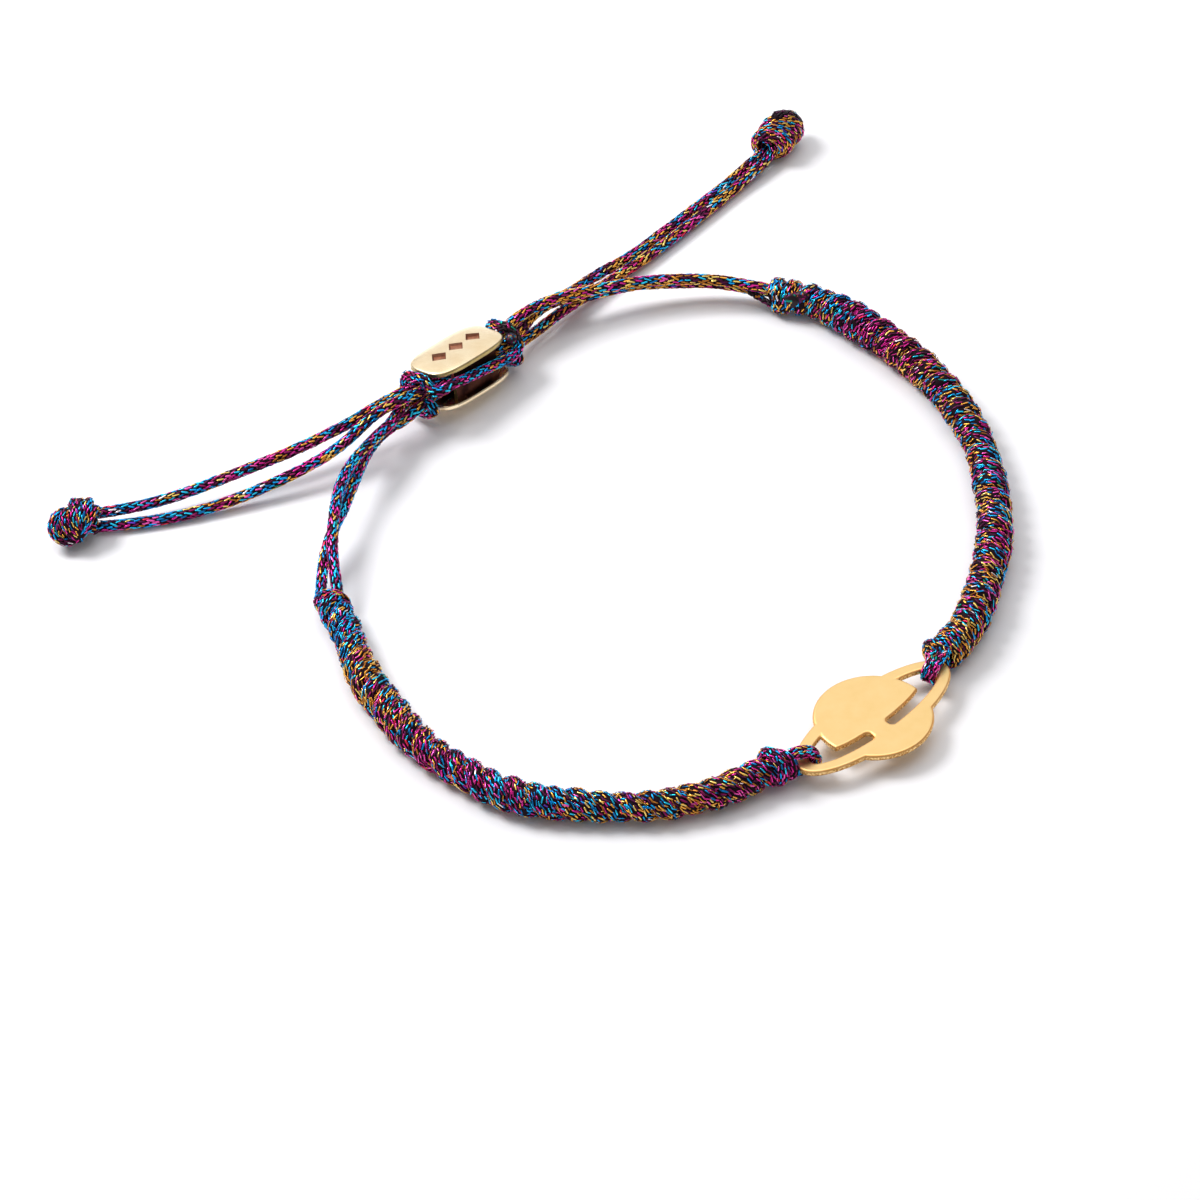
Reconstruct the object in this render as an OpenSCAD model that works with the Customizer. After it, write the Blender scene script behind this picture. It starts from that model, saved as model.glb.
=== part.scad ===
// Woven bracelet lying on a table, millimetres, +Z up, +Y away from the viewer.
// Two ribbed wrapped bands carry a flat pierced charm between them. Two strands of thin
// braided cord leave each band, run side by side through a small sliding clasp, and end
// in two tails, each with a stopper knot. A lashing cord ties the clasp to the strands.

/* [Cord] */
// Diameter of one strand of braided cord
cord_d = 0.88; // [0.8:0.01:0.88]
// Diameter of the cord that ties the clasp to the strands
lashing_d = 0.88; // [0.82:0.01:0.88]

/* [Bands] */
// How deep the grooves between the wrapped ribs are
rib_depth = 0.26; // [0.1:0.02:0.4]
// Thickness of the wrapped bands as a share of the table values
band_scale = 1; // [0.94:0.01:1]

/* [Charm] */
// Diameter of the round middle
charm_disc_d = 9.26; // [9.16:0.02:9.36]
// Length of the pointed oval ring around the disc
charm_long = 16.4; // [16.3:0.1:16.5]
// Width of the pointed oval ring
charm_wide = 5.98; // [5.9:0.02:6.06]
// Thickness of the plate
charm_thick = 0.54; // [0.4:0.02:0.56]

/* [Clasp] */
// Length of the clasp
slider_long = 7.9; // [7.7:0.1:8]
// Width of the clasp
slider_wide = 4.36; // [4.3:0.02:4.4]
// How far the top plate is domed
slider_dome = 0.34; // [0.1:0.02:0.5]
// Depth of the engraved ornament
engrave_depth = 0.18; // [0.1:0.02:0.24]

/* [Stopper knots] */
// Size of both knots as a share of the table values
knot_scale = 1; // [0.9:0.02:1]

/* [Hidden] */
// Charm: place, direction of its long axis, inner edge of the ring and the two slots
charm_at = [15.5, -20.11, 1.15];
charm_turn = 45.9;
charm_lean = -1.8;
ring_bar = 1.22;
slot_long = 10.12;
slot_wide = 1.9;
bridge_from = -1.65;
bridge_to = 0.22;
slot_round = 0.34;
metal_round = 0.22;

// Clasp: place and lean, and its plates and walls in its own axes
slider_at = [-16.5, 19.8, 2.66];
slider_turn = [-14, 3.5, 47];
corner_power = 3.5;
// The top plate is a little larger, and reaches farther back
top_grow = [1.03, 1.08, 1];
top_shift = [-0.12, 0.18, 0];
plate_thick = 0.4;
plate_low = -1.95;
plate_high = 1.15;
wall_at = 1.25;
wall_thick = 0.4;
wall_long = 4.8;
lozenge_long = 1.5;
lozenge_wide = 1.5;
lozenge_step = 1.9;

// Lashing: loops around the strands at both ends of the clasp, in the clasp's axes
bundle_w = -0.2;
loop_side = 1.56;
loop_corner = 1.84;
loop_left_u = -4.95;
loop_right_u = 4.95;
loop_turns = 9;

cord_sides = 8;
band_sides = 10;
rings_a_rib = 5;
rib_starts_left = 2;
rib_starts_right = -1;

// Columns: x, y, z, radius, distance from rib to rib. From the strands to the charm.
band_left_rows = [
    [-26.3, -6.8, 1.45, 1.15, 1.6],
    [-25.75, -8.25, 1.41, 1.37, 1.7],
    [-24.65, -11.3, 1.35, 1.32, 1.75],
    [-23.0, -16.3, 1.47, 1.47, 1.75],
    [-20.6, -20.55, 1.45, 1.45, 1.75],
    [-17.85, -24.05, 1.4, 1.36, 1.75],
    [-14.7, -26.75, 1.4, 1.36, 1.75],
    [-11.35, -28.65, 1.4, 1.36, 1.75],
    [-7.9, -29.45, 1.34, 1.3, 1.75],
    [-4.3, -29.55, 1.25, 1.21, 1.75],
    [-0.7, -29.4, 1.27, 1.23, 1.75],
    [2.8, -28.45, 1.28, 1.24, 1.75],
    [6.15, -26.5, 1.33, 1.29, 1.7],
    [8.9, -25.1, 1.38, 1.22, 1.7]
];
band_right_rows = [
    [8.55, 30.4, 1.45, 1.2, 1.3],
    [9.7, 30.3, 1.51, 1.51, 1.35],
    [11.75, 29.85, 1.37, 1.37, 1.4],
    [14.4, 28.0, 1.55, 1.55, 1.45],
    [17.65, 24.85, 1.56, 1.56, 1.55],
    [20.65, 21.25, 1.5, 1.5, 1.7],
    [23.15, 16.95, 1.5, 1.5, 1.85],
    [24.95, 12.0, 1.39, 1.39, 1.85],
    [25.75, 6.3, 1.44, 1.44, 1.75],
    [25.75, 0.6, 1.51, 1.51, 1.7],
    [24.7, -4.9, 1.48, 1.48, 1.6],
    [23.1, -10.0, 1.5, 1.5, 1.55],
    [21.25, -12.95, 1.42, 1.4, 1.5]
];

// Columns: x, y, z. Strands from the left band, through the clasp, to the right knot.
strand_a_1_rows = [
    [-27.1, -6.6, 1.0], [-26.9, -2.6, 1.7], [-26.3, 0.3, 2.2], [-25.4, 3.1, 2.5],
    [-24.6, 6.5, 2.6], [-23.7, 9.7, 2.5], [-22.4, 12.4, 2.2], [-21.2, 14.0, 1.8],
    [-19.9, 15.0, 2.3], [-18.4, 16.8, 2.4], [-15.0, 20.4, 2.0], [-12.6, 23.1, 1.7],
    [-10.5, 25.8, 1.4], [-8.0, 29.0, 1.2], [-5.3, 32.1, 0.8], [-2.5, 35.1, 0.7],
    [0.1, 38.1, 0.6], [2.8, 41.4, 0.6], [5.6, 44.9, 0.6], [8.4, 48.4, 0.9]
];
strand_a_2_rows = [
    [-25.7, -6.4, 1.9], [-26.2, -2.8, 2.8], [-26.2, 0.5, 3.2], [-25.9, 3.8, 3.4],
    [-25.1, 6.6, 3.5], [-23.6, 9.4, 3.5], [-22.1, 12.2, 3.1], [-21.2, 14.6, 2.8],
    [-20.3, 16.3, 2.2], [-18.6, 17.9, 2.1], [-15.6, 21.1, 1.8], [-13.6, 23.3, 1.6],
    [-12.0, 26.0, 1.7], [-10.4, 28.4, 1.7], [-8.1, 30.5, 1.4], [-5.5, 33.3, 1.2],
    [-2.6, 36.4, 0.8], [-0.1, 39.4, 0.7], [2.5, 42.6, 0.6], [5.15, 45.75, 0.6],
    [7.85, 49.25, 0.75]
];

// Columns: x, y, z. Strands from the left knot, through the clasp, to the right band.
strand_b_1_rows = [
    [-45.2, 3.5, 1.2], [-41.3, 4.6, 1.2], [-37.8, 6.0, 1.4], [-33.5, 8.1, 1.8],
    [-29.6, 10.1, 2.2], [-25.8, 12.4, 2.7], [-22.9, 14.5, 3.2], [-20.7, 16.2, 3.3],
    [-18.4, 18.5, 2.9], [-15.1, 22.1, 2.7], [-13.4, 23.9, 2.6], [-12.2, 24.9, 3.4],
    [-10.5, 26.4, 3.5], [-8.2, 27.9, 3.4], [-5.2, 29.2, 3.1], [-2.2, 30.3, 2.9],
    [1.2, 30.9, 2.7], [4.4, 31.0, 2.5], [8.4, 30.6, 2.0]
];
strand_b_2_rows = [
    [-45.1, 2.6, 0.6], [-40.9, 3.4, 0.5], [-37.1, 4.5, 0.6], [-33.2, 6.1, 1.0],
    [-29.2, 8.1, 1.7], [-26.2, 10.1, 2.4], [-23.2, 12.7, 3.7], [-21.2, 14.2, 3.9],
    [-19.2, 16.3, 3.4], [-15.9, 19.9, 3.0], [-13.3, 22.3, 2.8], [-11.9, 24.3, 2.5],
    [-10.7, 26.6, 2.5], [-8.9, 28.3, 2.5], [-6.0, 29.6, 2.1], [-2.7, 30.9, 2.0],
    [0.8, 31.6, 1.7], [4.4, 31.8, 1.5], [8.4, 31.3, 1.0]
];

// Columns: u, v, w in the clasp's axes. The lashing between its two loops.
lashing_rows = [
    [-4.9, -1.9, 0.5], [-4.2, -2.2, 0.5], [-3.2, -2.22, 0.55], [-1.5, -2.22, 0.3],
    [0.5, -2.22, 0.1], [2.5, -2.22, -0.1], [3.5, -2.22, -0.2], [4.2, -2.16, -0.1],
    [4.75, -1.98, 0.2]
];
// The melted lump beside the right loop: place and size
lump_at = [4.4, -1.55, 0.85];
lump_size = [1, 1.3, 1];

// Columns: distance past the bend, z. The bend of the loops through the charm.
charm_loop_rows = [
    [-1.6, 2.3], [-0.8, 2.17], [-0.25, 1.87], [0, 1.42],
    [-0.25, 0.97], [-0.8, 0.67], [-1.6, 0.54]
];
loop_left_at = [9.05, -25.05];
loop_left_turn = 19.5;
loop_left_reach = 2.28;
loop_left_wide = 1.1;
loop_right_at = [21.15, -13.1];
loop_right_turn = -119.6;
loop_right_reach = 2.88;
loop_right_wide = 1.3;
loop_thick = 0.58;

// Columns: x, y, z, radius, distance from lump to lump
knot_left_rows = [
    [-45.3, 2.9, 1.2, 1.1, 1.7], [-45.8, 2.6, 1.5, 1.5, 1.7], [-46.8, 2.0, 1.6, 1.62, 1.7],
    [-47.8, 1.4, 1.55, 1.45, 1.7], [-48.4, 1.1, 1.5, 0.7, 1.7]
];
knot_right_rows = [
    [8.6, 49.5, 1.15, 1.05, 2.1], [9.1, 50.2, 1.5, 1.5, 2.1], [9.9, 51.6, 1.65, 1.65, 2.1],
    [10.8, 52.9, 1.55, 1.4, 2.1], [11.4, 53.7, 1.45, 0.6, 2.1]
];
knot_sides = 12;
knot_depth = 0.3;
knot_rings_a_lump = 6;

gold = [0.86, 0.66, 0.34];
pale_gold = [0.85, 0.74, 0.55];
blue_cord = [0.2, 0.35, 0.6];
mixed_cord = [0.55, 0.3, 0.5];
warm_cord = [0.7, 0.45, 0.25];

function unit(v) = v / norm(v);
function place(row) = [row[0], row[1], row[2]];

// A smooth curve through whole rows, so that each column is smooth
function spline_at(p, k, t) = let (
        a = p[max(k - 1, 0)], b = p[k], c = p[k + 1], d = p[min(k + 2, len(p) - 1)])
    0.5 * (2 * b + (c - a) * t + (2 * a - 5 * b + 4 * c - d) * t * t
        + (3 * b - a - 3 * c + d) * t * t * t);
function smooth(p, steps) = [
    for (k = [0:len(p) - 2], j = [0:steps - 1]) spline_at(p, k, j / steps),
    p[len(p) - 1]
];

function tangent(p, i) = unit(
    place(p[min(i + 1, len(p) - 1)]) - place(p[max(i - 1, 0)]));
function flattened(v, t) = unit(v - (v * t) * t);
// Side directions, carried along the curve from the first without twisting
function sides(p, first) = [
    for (i = 0, n = flattened(first, tangent(p, 0)); i < len(p);
        i = i + 1, n = i < len(p) ? flattened(n, tangent(p, i)) : n) n
];

// A closed skin over rings that all have the same number of points
module skin(rings) {
    m = len(rings[0]);
    n = len(rings);
    polyhedron(
        points = [for (r = rings) each r],
        faces = concat(
            [[for (j = [0:m - 1]) j]],
            [[for (j = [m - 1:-1:0]) (n - 1) * m + j]],
            [for (i = [0:n - 2], j = [0:m - 1]) [i * m + j, (i + 1) * m + j, i * m + (j + 1) % m]],
            [for (i = [0:n - 2], j = [0:m - 1])
                [i * m + (j + 1) % m, (i + 1) * m + j, (i + 1) * m + (j + 1) % m]]));
}

function ring(p, t, side, half_wide, half_thick, m) = [
    for (j = [0:m - 1]) let (a = 360 * j / m)
        p + half_wide * cos(a) * side + half_thick * sin(a) * cross(t, side)
];
module tube(p, first, half_wide, half_thick, m) {
    n = sides(p, first);
    skin([for (i = [0:len(p) - 1])
        ring(place(p[i]), tangent(p, i), n[i], half_wide, half_thick, m)]);
}

// Ribbed bodies: rib count so far, row by row, then rings at even steps of that count
function counted(p) = [
    for (i = 0, c = 0; i < len(p);
        i = i + 1, c = i < len(p)
            ? c + norm(place(p[i]) - place(p[i - 1])) / (p[i][4] + p[i - 1][4]) * 2 : c) c
];
function column(p, c, i, at) = lookup(at, [for (k = [0:len(p) - 1]) [c[k], p[k][i]]]);
function even_rows(p, c, n) = [
    for (k = [0:n]) let (at = c[len(c) - 1] * k / n)
        [column(p, c, 0, at), column(p, c, 1, at), column(p, c, 2, at), column(p, c, 3, at), at]
];
module ribbed(rows, starts, depth, scale_by, m, rings) {
    fine = smooth(rows, 12);
    c = counted(fine);
    p = even_rows(fine, c, ceil(c[len(c) - 1] * rings));
    n = sides(p, [0, 0, 1]);
    skin([for (i = [0:len(p) - 1]) let (t = tangent(p, i)) [
        for (j = [0:m - 1]) let (
            a = 360 * j / m,
            phase = p[i][4] - starts * j / m,
            r = scale_by * (p[i][3] - depth * (1 - abs(sin(180 * phase)))))
        place(p[i]) + r * (cos(a) * n[i] + sin(a) * cross(t, n[i]))]]);
}

module strand(rows) {
    tube(rows, [0, 0, 1], cord_d / 2, cord_d / 2, cord_sides);
}

module charm_outline() {
    circle(d = charm_disc_d, $fn = 96);
    resize([charm_long, charm_wide]) circle(d = charm_long, $fn = 96);
}
module ring_inside() {
    resize([charm_long - 2 * ring_bar, charm_wide - 2 * ring_bar])
        circle(d = charm_long, $fn = 96);
}
module charm_openings() {
    difference() {
        ring_inside();
        circle(d = charm_disc_d, $fn = 96);
    }
    offset(r = slot_round, $fn = 32) offset(delta = -slot_round) difference() {
        ring_inside();
        resize([slot_long, slot_wide]) circle(d = slot_long, $fn = 96);
        translate([-charm_long / 2, 0]) square([charm_long, charm_wide]);
        translate([bridge_from, -charm_wide / 2])
            square([bridge_to - bridge_from, charm_wide]);
    }
}
module charm() {
    color(gold) translate(charm_at) rotate([charm_lean, 0, charm_turn])
        linear_extrude(charm_thick) offset(r = metal_round, $fn = 32)
        offset(delta = -metal_round) difference() {
            charm_outline();
            charm_openings();
        }
}

function signed_power(x, p) = sign(x) * pow(abs(x), p);
function plate_edge(share) = [
    for (k = [0:47]) let (a = 7.5 * k)
        [share * slider_long / 2 * signed_power(cos(a), 2 / corner_power),
            share * slider_wide / 2 * signed_power(sin(a), 2 / corner_power)]
];
module plate(share, thick) {
    linear_extrude(thick) polygon(plate_edge(share));
}
module lozenge() {
    polygon([[-lozenge_long / 2, 0], [0, -lozenge_wide / 2], [lozenge_long / 2, 0],
        [0, lozenge_wide / 2]]);
}
module slider() {
    dome_steps = [[1, 0], [0.86, 0.5], [0.62, 0.85], [0.3, 1]];
    color(pale_gold) translate(slider_at) rotate(slider_turn) {
        translate([0, 0, plate_low]) plate(1, plate_thick);
        translate(top_shift) scale(top_grow) difference() {
            translate([0, 0, plate_high]) hull() {
                for (s = dome_steps) plate(s[0], plate_thick + s[1] * slider_dome);
            }
            for (k = [-1:1])
                translate([k * lozenge_step, 0,
                    plate_high + plate_thick + slider_dome - engrave_depth
                        - (k == 0 ? 0 : 0.1)])
                    linear_extrude(1) lozenge();
        }
        for (side = [-1, 1])
            translate([-wall_long / 2, side * wall_at - (side < 0 ? wall_thick : 0), plate_low])
                cube([wall_long, wall_thick, plate_high - plate_low + plate_thick / 2]);
    }
}

// A point of a loop around the square bundle of strands, farther out at its corners
function loop_point(u, a) = let (
        r = loop_side + (loop_corner - loop_side) * pow(sin(2 * a), 2))
    [u, r * cos(a), bundle_w + r * sin(a)];
module slider_lashing() {
    left = [for (k = [0:loop_turns]) loop_point(loop_left_u, 215 + 295 * k / loop_turns)];
    right = [for (k = [0:loop_turns]) loop_point(loop_right_u, 150 - 295 * k / loop_turns)];
    color(mixed_cord) translate(slider_at) rotate(slider_turn) {
        tube(smooth(concat(left, lashing_rows, right), 2), [1, 0, 0],
            lashing_d / 2, lashing_d / 2, cord_sides);
        translate(lump_at) resize(lump_size) sphere(d = 1, $fn = 24);
    }
}

module charm_loop(at, turn, reach, wide) {
    ends = [[-reach, charm_loop_rows[0][1] - 0.1], [-reach, 0.64]];
    rows = smooth([for (r = concat([ends[0]], charm_loop_rows, [ends[1]]))
        [at[0] + (reach + r[0]) * cos(turn), at[1] + (reach + r[0]) * sin(turn), r[1]]], 2);
    tube(rows, [-sin(turn), cos(turn), 0], wide / 2, loop_thick / 2, 12);
}

module charm_loop_left() {
    color(mixed_cord) charm_loop(loop_left_at, loop_left_turn, loop_left_reach, loop_left_wide);
}
module charm_loop_right() {
    color(mixed_cord) charm_loop(loop_right_at, loop_right_turn, loop_right_reach, loop_right_wide);
}
module band_left() {
    color(mixed_cord)
        ribbed(band_left_rows, rib_starts_left, rib_depth, band_scale, band_sides, rings_a_rib);
}
module band_right() {
    color(blue_cord)
        ribbed(band_right_rows, rib_starts_right, rib_depth, band_scale, band_sides, rings_a_rib);
}
module knot_left() {
    color(warm_cord)
        ribbed(knot_left_rows, 1, knot_depth, knot_scale, knot_sides, knot_rings_a_lump);
}
module knot_right() {
    color(warm_cord)
        ribbed(knot_right_rows, 1, knot_depth, knot_scale, knot_sides, knot_rings_a_lump);
}
module strand_a_1() {
    color(blue_cord) strand(strand_a_1_rows);
}
module strand_a_2() {
    color(blue_cord) strand(strand_a_2_rows);
}
module strand_b_1() {
    color(warm_cord) strand(strand_b_1_rows);
}
module strand_b_2() {
    color(warm_cord) strand(strand_b_2_rows);
}

charm();
slider();
slider_lashing();
band_left();
band_right();
charm_loop_left();
charm_loop_right();
strand_a_1();
strand_a_2();
strand_b_1();
strand_b_2();
knot_left();
knot_right();
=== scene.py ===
import math
from typing import NamedTuple

import bmesh
import bpy
import numpy as np
from mathutils import Matrix, Vector
from mathutils.bvhtree import BVHTree


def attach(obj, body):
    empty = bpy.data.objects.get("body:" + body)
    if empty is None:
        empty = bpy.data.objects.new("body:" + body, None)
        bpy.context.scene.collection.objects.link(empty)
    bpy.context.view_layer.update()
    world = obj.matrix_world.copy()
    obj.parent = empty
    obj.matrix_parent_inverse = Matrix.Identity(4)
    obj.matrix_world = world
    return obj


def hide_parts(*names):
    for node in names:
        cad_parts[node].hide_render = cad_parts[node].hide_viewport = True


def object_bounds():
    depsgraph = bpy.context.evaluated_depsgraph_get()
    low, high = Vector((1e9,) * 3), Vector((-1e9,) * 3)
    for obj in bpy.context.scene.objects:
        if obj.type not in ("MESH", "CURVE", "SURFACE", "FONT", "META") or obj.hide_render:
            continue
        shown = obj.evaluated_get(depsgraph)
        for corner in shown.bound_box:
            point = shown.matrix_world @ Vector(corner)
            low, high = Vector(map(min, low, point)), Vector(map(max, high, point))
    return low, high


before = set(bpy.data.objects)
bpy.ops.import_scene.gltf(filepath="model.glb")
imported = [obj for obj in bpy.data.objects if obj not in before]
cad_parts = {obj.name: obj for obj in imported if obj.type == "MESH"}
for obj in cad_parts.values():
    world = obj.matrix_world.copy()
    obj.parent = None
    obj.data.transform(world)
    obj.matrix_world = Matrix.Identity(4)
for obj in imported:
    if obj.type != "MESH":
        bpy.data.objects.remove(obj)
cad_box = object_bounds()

# Lengths below are millimetres in the CAD frame, and MM turns them into metres
MM = 0.001
rng = np.random.default_rng(7)

# Camera: the point it looks at, its height angle, its distance and its lens
LOOK_AT = (-5.3, -5.3, 0.0)
LOOK_DOWN = 42.5
CAMERA_AWAY = 450.0
SENSOR = 36.0
LENS = 172.8

# Thickness of the braided cord. The strands' yarn stands a little proud of it
CORD_D = 0.88
PROUD = 0.025

# Routes of the strands. Columns: x, y, z. From the left band, through the clasp, to the right knot
STRAND_A_1 = [
    (-27.1, -6.6, 1.0), (-26.9, -2.6, 1.7), (-26.3, 0.3, 2.2), (-25.4, 3.1, 2.5),
    (-24.6, 6.5, 2.6), (-23.7, 9.7, 2.5), (-22.4, 12.4, 2.2), (-21.2, 14.0, 1.8),
    (-19.9, 15.0, 2.3), (-18.4, 16.8, 2.4), (-15.0, 20.4, 2.0), (-12.6, 23.1, 1.7),
    (-10.5, 25.8, 1.4), (-8.0, 29.0, 1.2), (-5.3, 32.1, 0.8), (-2.5, 35.1, 0.7),
    (0.1, 38.1, 0.6), (2.8, 41.4, 0.6), (5.6, 44.9, 0.6), (8.4, 48.4, 0.9),
]
STRAND_A_2 = [
    (-25.7, -6.4, 1.9), (-26.2, -2.8, 2.8), (-26.2, 0.5, 3.2), (-25.9, 3.8, 3.4),
    (-25.1, 6.6, 3.5), (-23.6, 9.4, 3.5), (-22.1, 12.2, 3.1), (-21.2, 14.6, 2.8),
    (-20.3, 16.3, 2.2), (-18.6, 17.9, 2.1), (-15.6, 21.1, 1.8), (-13.6, 23.3, 1.6),
    (-12.0, 26.0, 1.7), (-10.4, 28.4, 1.7), (-8.1, 30.5, 1.4), (-5.5, 33.3, 1.2),
    (-2.6, 36.4, 0.8), (-0.1, 39.4, 0.7), (2.5, 42.6, 0.6), (5.15, 45.75, 0.6),
    (7.85, 49.25, 0.75),
]
# From the left knot, through the clasp, to the right band
STRAND_B_1 = [
    (-45.2, 3.5, 1.2), (-41.3, 4.6, 1.2), (-37.8, 6.0, 1.4), (-33.5, 8.1, 1.8),
    (-29.6, 10.1, 2.2), (-25.8, 12.4, 2.7), (-22.9, 14.5, 3.2), (-20.7, 16.2, 3.3),
    (-18.4, 18.5, 2.9), (-15.1, 22.1, 2.7), (-13.4, 23.9, 2.6), (-12.2, 24.9, 3.4),
    (-10.5, 26.4, 3.5), (-8.2, 27.9, 3.4), (-5.2, 29.2, 3.1), (-2.2, 30.3, 2.9),
    (1.2, 30.9, 2.7), (4.4, 31.0, 2.5), (8.4, 30.6, 2.0),
]
STRAND_B_2 = [
    (-45.1, 2.6, 0.6), (-40.9, 3.4, 0.5), (-37.1, 4.5, 0.6), (-33.2, 6.1, 1.0),
    (-29.2, 8.1, 1.7), (-26.2, 10.1, 2.4), (-23.2, 12.7, 3.7), (-21.2, 14.2, 3.9),
    (-19.2, 16.3, 3.4), (-15.9, 19.9, 3.0), (-13.3, 22.3, 2.8), (-11.9, 24.3, 2.5),
    (-10.7, 26.6, 2.5), (-8.9, 28.3, 2.5), (-6.0, 29.6, 2.1), (-2.7, 30.9, 2.0),
    (0.8, 31.6, 1.7), (4.4, 31.8, 1.5), (8.4, 31.3, 1.0),
]

# Columns: x, y, z, radius, distance from rib to rib. From the strands to the charm
BAND_LEFT = [
    (-26.3, -6.8, 1.45, 1.15, 1.6), (-25.75, -8.25, 1.41, 1.37, 1.7),
    (-24.65, -11.3, 1.35, 1.32, 1.75), (-23.0, -16.3, 1.47, 1.47, 1.75),
    (-20.6, -20.55, 1.45, 1.45, 1.75), (-17.85, -24.05, 1.4, 1.36, 1.75),
    (-14.7, -26.75, 1.4, 1.36, 1.75), (-11.35, -28.65, 1.4, 1.36, 1.75),
    (-7.9, -29.45, 1.34, 1.3, 1.75), (-4.3, -29.55, 1.25, 1.21, 1.75),
    (-0.7, -29.4, 1.27, 1.23, 1.75), (2.8, -28.45, 1.28, 1.24, 1.75),
    (6.15, -26.5, 1.33, 1.29, 1.7), (8.9, -25.1, 1.38, 1.22, 1.7),
]
BAND_RIGHT = [
    (8.55, 30.4, 1.45, 1.2, 1.3), (9.7, 30.3, 1.51, 1.51, 1.35),
    (11.75, 29.85, 1.37, 1.37, 1.4), (14.4, 28.0, 1.55, 1.55, 1.45),
    (17.65, 24.85, 1.56, 1.56, 1.55), (20.65, 21.25, 1.5, 1.5, 1.7),
    (23.15, 16.95, 1.5, 1.5, 1.85), (24.95, 12.0, 1.39, 1.39, 1.85),
    (25.75, 6.3, 1.44, 1.44, 1.75), (25.75, 0.6, 1.51, 1.51, 1.7),
    (24.7, -4.9, 1.48, 1.48, 1.6), (23.1, -10.0, 1.5, 1.5, 1.55),
    (21.25, -12.95, 1.42, 1.4, 1.5),
]
# How many cords wind side by side. A negative number winds them the other way round
RIB_STARTS_LEFT = 2
RIB_STARTS_RIGHT = -1

# Colours of the metallic yarn: name, colour, roughness
YARNS = [
    ("core", "1C0814", 0.7),
    ("sky", "28D4FF", 0.22), ("blue", "06ACFC", 0.24), ("deep_blue", "0474B8", 0.3),
    ("pink", "FF60C0", 0.22), ("magenta", "E02898", 0.25), ("wine", "961860", 0.32),
    ("light_gold", "FFD872", 0.2), ("gold", "FCB044", 0.25), ("bronze", "C07628", 0.32),
    # painted_glint: near-white floats that stand for painted glints of light
    ("painted_glint", "FFF0F8", 0.24), ("violet", "6838B8", 0.32), ("red", "F02C50", 0.3),
    ("teal", "109078", 0.32), ("plum", "541040", 0.4), ("char", "30242A", 0.45),
]
YARN_NUMBER = {name: k for k, (name, _, _) in enumerate(YARNS)}
# Blue, magenta and gold: the yarns of each, with their shares
FAMILIES = [
    (("sky", 0.36), ("blue", 0.42), ("deep_blue", 0.22)),
    (("pink", 0.22), ("magenta", 0.37), ("wine", 0.41)),
    (("light_gold", 0.3), ("gold", 0.45), ("bronze", 0.25)),
]
# Yarns outside the families, with their shares of all floats
# The near-white painted_glint floats are painted glints, sprinkled at random
RARE = (("painted_glint", 0.008), ("violet", 0.006), ("red", 0.01), ("teal", 0.006), ("plum", 0.13))
RARE_SUMS = np.cumsum([share for _, share in RARE])
# How often the next float of a column is of the same family
SAME_AGAIN = 0.3
# Painted shade: how much more or less of blue, magenta and gold shows on floats that face down and to the
# front, away from the light
PAINTED_SHADE_TINT = (-0.65, 0.25, 0.7)
MELTED = (("char", 0.66), ("plum", 0.15), ("bronze", 0.05), ("teal", 0.05), ("deep_blue", 0.04),
          ("wine", 0.05))
CORE_ONLY = (("core", 1.0),)

# Mixes of a cord. Columns: share of its length, then how much blue, magenta and gold there is
MIX_RIGHT = [
    (0.0, 0.5, 0.15, 0.35), (0.08, 0.7, 0.1, 0.2), (0.16, 0.5, 0.4, 0.1),
    (0.25, 0.12, 0.7, 0.18), (0.33, 0.12, 0.45, 0.43), (0.42, 0.4, 0.2, 0.4),
    (0.55, 0.45, 0.3, 0.25), (0.65, 0.4, 0.38, 0.22), (0.78, 0.34, 0.34, 0.32),
    (0.88, 0.3, 0.26, 0.44), (1.0, 0.38, 0.14, 0.48),
]
MIX_LEFT = [
    (0.0, 0.7, 0.2, 0.1), (0.08, 0.75, 0.15, 0.1), (0.16, 0.33, 0.14, 0.53),
    (0.3, 0.3, 0.28, 0.42), (0.38, 0.15, 0.65, 0.2), (0.5, 0.35, 0.5, 0.15),
    (0.6, 0.6, 0.2, 0.2), (0.72, 0.5, 0.1, 0.4), (0.8, 0.2, 0.2, 0.6),
    (0.9, 0.2, 0.5, 0.3), (1.0, 0.45, 0.5, 0.05),
]
MIX_A = [(0.0, 0.62, 0.32, 0.06), (0.28, 0.48, 0.4, 0.12), (0.42, 0.27, 0.38, 0.35),
         (0.7, 0.25, 0.38, 0.37), (1.0, 0.2, 0.42, 0.38)]
MIX_B = [(0.0, 0.4, 0.2, 0.4), (0.3, 0.3, 0.28, 0.42), (0.6, 0.4, 0.36, 0.24),
         (1.0, 0.68, 0.28, 0.04)]
MIX_KNOT_LEFT = [(0.0, 0.45, 0.36, 0.19)]
MIX_KNOT_RIGHT = [(0.0, 0.28, 0.32, 0.4)]
MIX_LOOP_RIGHT = [(0.0, 0.55, 0.38, 0.07)]
# Mixes of the rings and stubs at a band's first and last end
END_MIXES_LEFT = [(0.0, 0.28, 0.57, 0.15)], [(0.0, 0.35, 0.58, 0.07)]
END_MIXES_RIGHT = [(0.0, 0.4, 0.12, 0.48)], [(0.0, 0.5, 0.12, 0.38)]


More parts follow.
